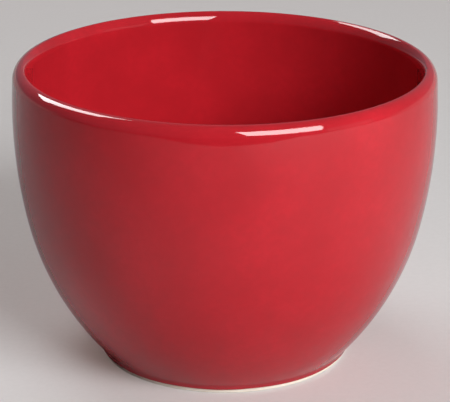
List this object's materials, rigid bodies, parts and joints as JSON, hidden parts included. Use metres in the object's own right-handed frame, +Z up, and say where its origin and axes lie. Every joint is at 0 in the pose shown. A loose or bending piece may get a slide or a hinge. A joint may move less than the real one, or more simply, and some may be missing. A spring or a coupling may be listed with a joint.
{
  "type": "sugar bowl",
  "caption": "Small round open sugar bowl without a lid: full curved sides on a low foot ring, softly rounded lip, glossy red glaze inside and out, bare cream clay where it stands.",
  "frame": {"origin": "middle of the standing ring, on the surface that the bowl stands on", "axes": "+Z up along the bowl's own axis; X and Y are any two level directions, because the bowl is round"},
  "size_m": [0.102, 0.102, 0.0726],
  "materials": {
    "bare_clay": "matte",
    "red_glaze": "gloss"
  },
  "bodies": {
    "root": {"clay_body": "bare_clay", "glaze_coat": "red_glaze", "base_glaze": "red_glaze"}
  },
  "joints": []
}
